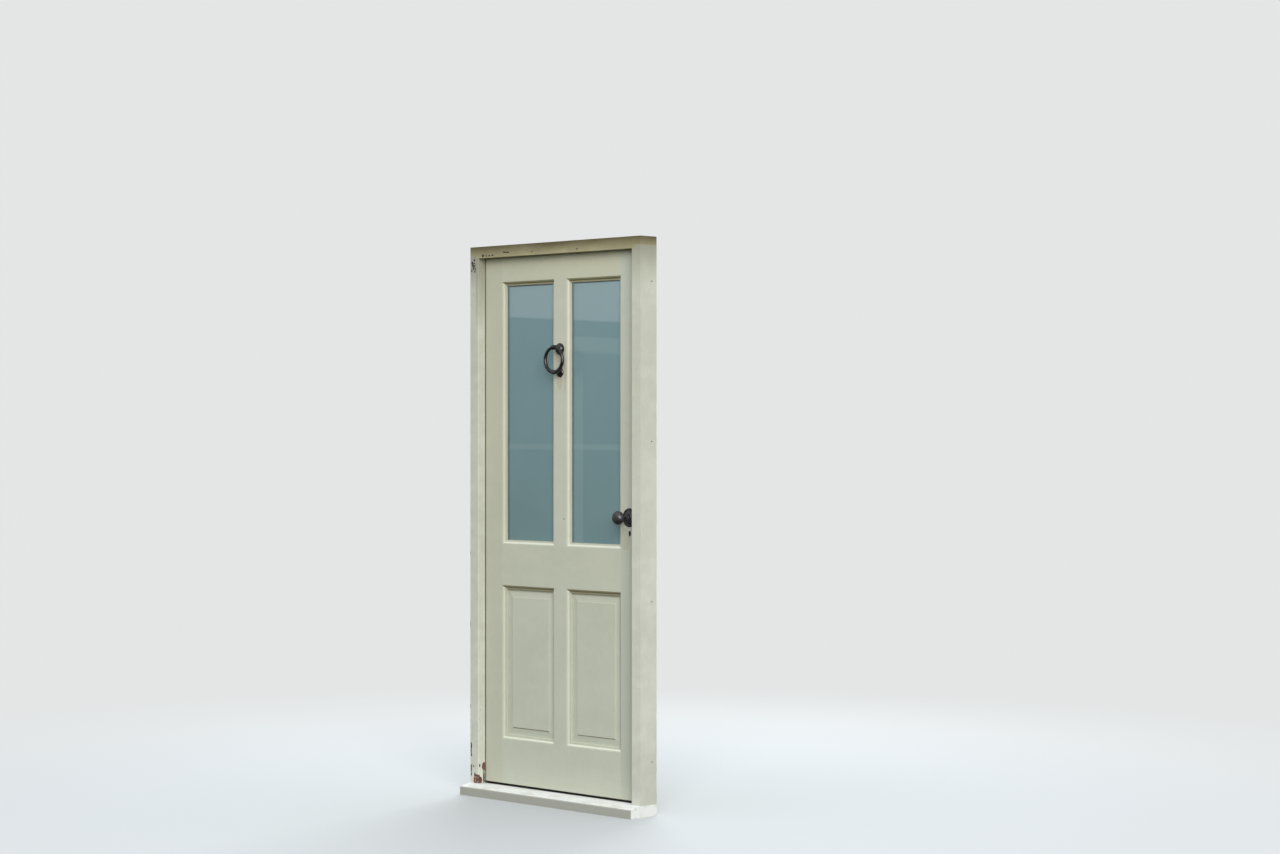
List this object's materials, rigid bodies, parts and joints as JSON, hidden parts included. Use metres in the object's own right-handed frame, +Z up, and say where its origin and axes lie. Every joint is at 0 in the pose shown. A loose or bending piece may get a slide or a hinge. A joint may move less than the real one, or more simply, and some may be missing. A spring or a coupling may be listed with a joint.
{
  "type": "half-glazed panelled front door",
  "caption": "Half-glazed panelled front door hung in its rebated timber frame on a stone threshold, with a mortice lock, ball knobs and a ring knocker.",
  "frame": {"origin": "on the threshold's underside, at the middle of the width, in the plane of the leaf's outer face", "axes": "+X towards the lock side seen from outside, +Y into the building, +Z up"},
  "size_m": [0.906, 0.213, 2.062],
  "materials": {
    "frame_paint": "weathered satin paint",
    "leaf_paint": "weathered satin paint",
    "obscured_glass": "obscured",
    "threshold_stone": "worn matt",
    "black_iron": "black paint",
    "bright_steel": "satin",
    "lock_brass": "dull"
  },
  "bodies": {
    "frame": {"jamb_hinge_side": "frame_paint", "jamb_lock_side": "frame_paint", "frame_head": "frame_paint", "stop_hinge_side": "frame_paint", "stop_lock_side": "frame_paint", "stop_head": "frame_paint", "threshold": "threshold_stone", "foot_dowels": "bright_steel", "strike_plate": "bright_steel", "strike_screws": "bright_steel", "hinge_plate_frame_top": "bright_steel", "hinge_plate_frame_middle": "bright_steel", "hinge_plate_frame_bottom": "bright_steel", "hinge_screws_frame": "bright_steel"},
    "leaf": {"stile_hinge_side": "leaf_paint", "stile_lock_side": "leaf_paint", "top_rail": "leaf_paint", "lock_rail": "leaf_paint", "bottom_rail": "leaf_paint", "muntin_upper": "leaf_paint", "muntin_lower": "leaf_paint", "pane_left": "obscured_glass", "pane_right": "obscured_glass", "glazing_beads_left": "leaf_paint", "glazing_beads_right": "leaf_paint", "panel_left": "leaf_paint", "panel_right": "leaf_paint", "hinge_plate_leaf_top": "bright_steel", "hinge_plate_leaf_middle": "bright_steel", "hinge_plate_leaf_bottom": "bright_steel", "hinge_pin_top": "bright_steel", "hinge_pin_middle": "bright_steel", "hinge_pin_bottom": "bright_steel", "hinge_screws_leaf": "bright_steel", "lock_case": "bright_steel", "lock_cover": "bright_steel", "lock_forend": "bright_steel", "forend_screws": "bright_steel", "lock_levers": "lock_brass", "latch_spring": "bright_steel", "rose_outer": "black_iron", "rose_inner": "black_iron", "rose_screws": "black_iron", "keyhole_plate_inner": "black_iron", "keyhole_plate_screws": "black_iron", "knocker_boss": "black_iron", "knocker_nut": "black_iron", "knocker_strike": "black_iron"},
    "knob": {"knob_outer": "black_iron", "knob_inner": "black_iron", "knob_spindle": "bright_steel", "knob_grub_screws": "black_iron", "lock_follower": "bright_steel"},
    "latch": {"latch_bolt": "lock_brass"},
    "dead_bolt": {"deadbolt": "lock_brass"},
    "knocker": {"knocker_ring": "black_iron"}
  },
  "joints": [
    {"name": "door_swing", "type": "hinge", "parent": "frame", "child": "leaf", "pos_m": [-0.4205, 0.0505, 1.075], "axis": [0, 0, 1], "range_deg": [0, 100]},
    {"name": "knob_turn", "type": "hinge", "parent": "leaf", "child": "knob", "pos_m": [0.362, 0.022, 1.06], "axis": [0, 1, 0], "range_deg": [0, 45], "stiffness_Nm_per_rad": 0.6, "springref_deg": 51.57},
    {"name": "latch_slide", "type": "slide", "parent": "leaf", "child": "latch", "axis": [1, 0, 0], "range_m": [0, 0.012], "deforming": ["latch_spring"]},
    {"name": "dead_bolt_slide", "type": "slide", "parent": "leaf", "child": "dead_bolt", "axis": [1, 0, 0], "range_m": [0, 0.014]},
    {"name": "knocker_swing", "type": "hinge", "parent": "leaf", "child": "knocker", "pos_m": [0, -0.032, 1.6755], "axis": [-1, 0, 0], "range_deg": [0, 110]}
  ],
  "couplings": [
    {"joint": "latch_slide", "follows": "knob_turn", "m_per_rad": 0.015279}
  ]
}
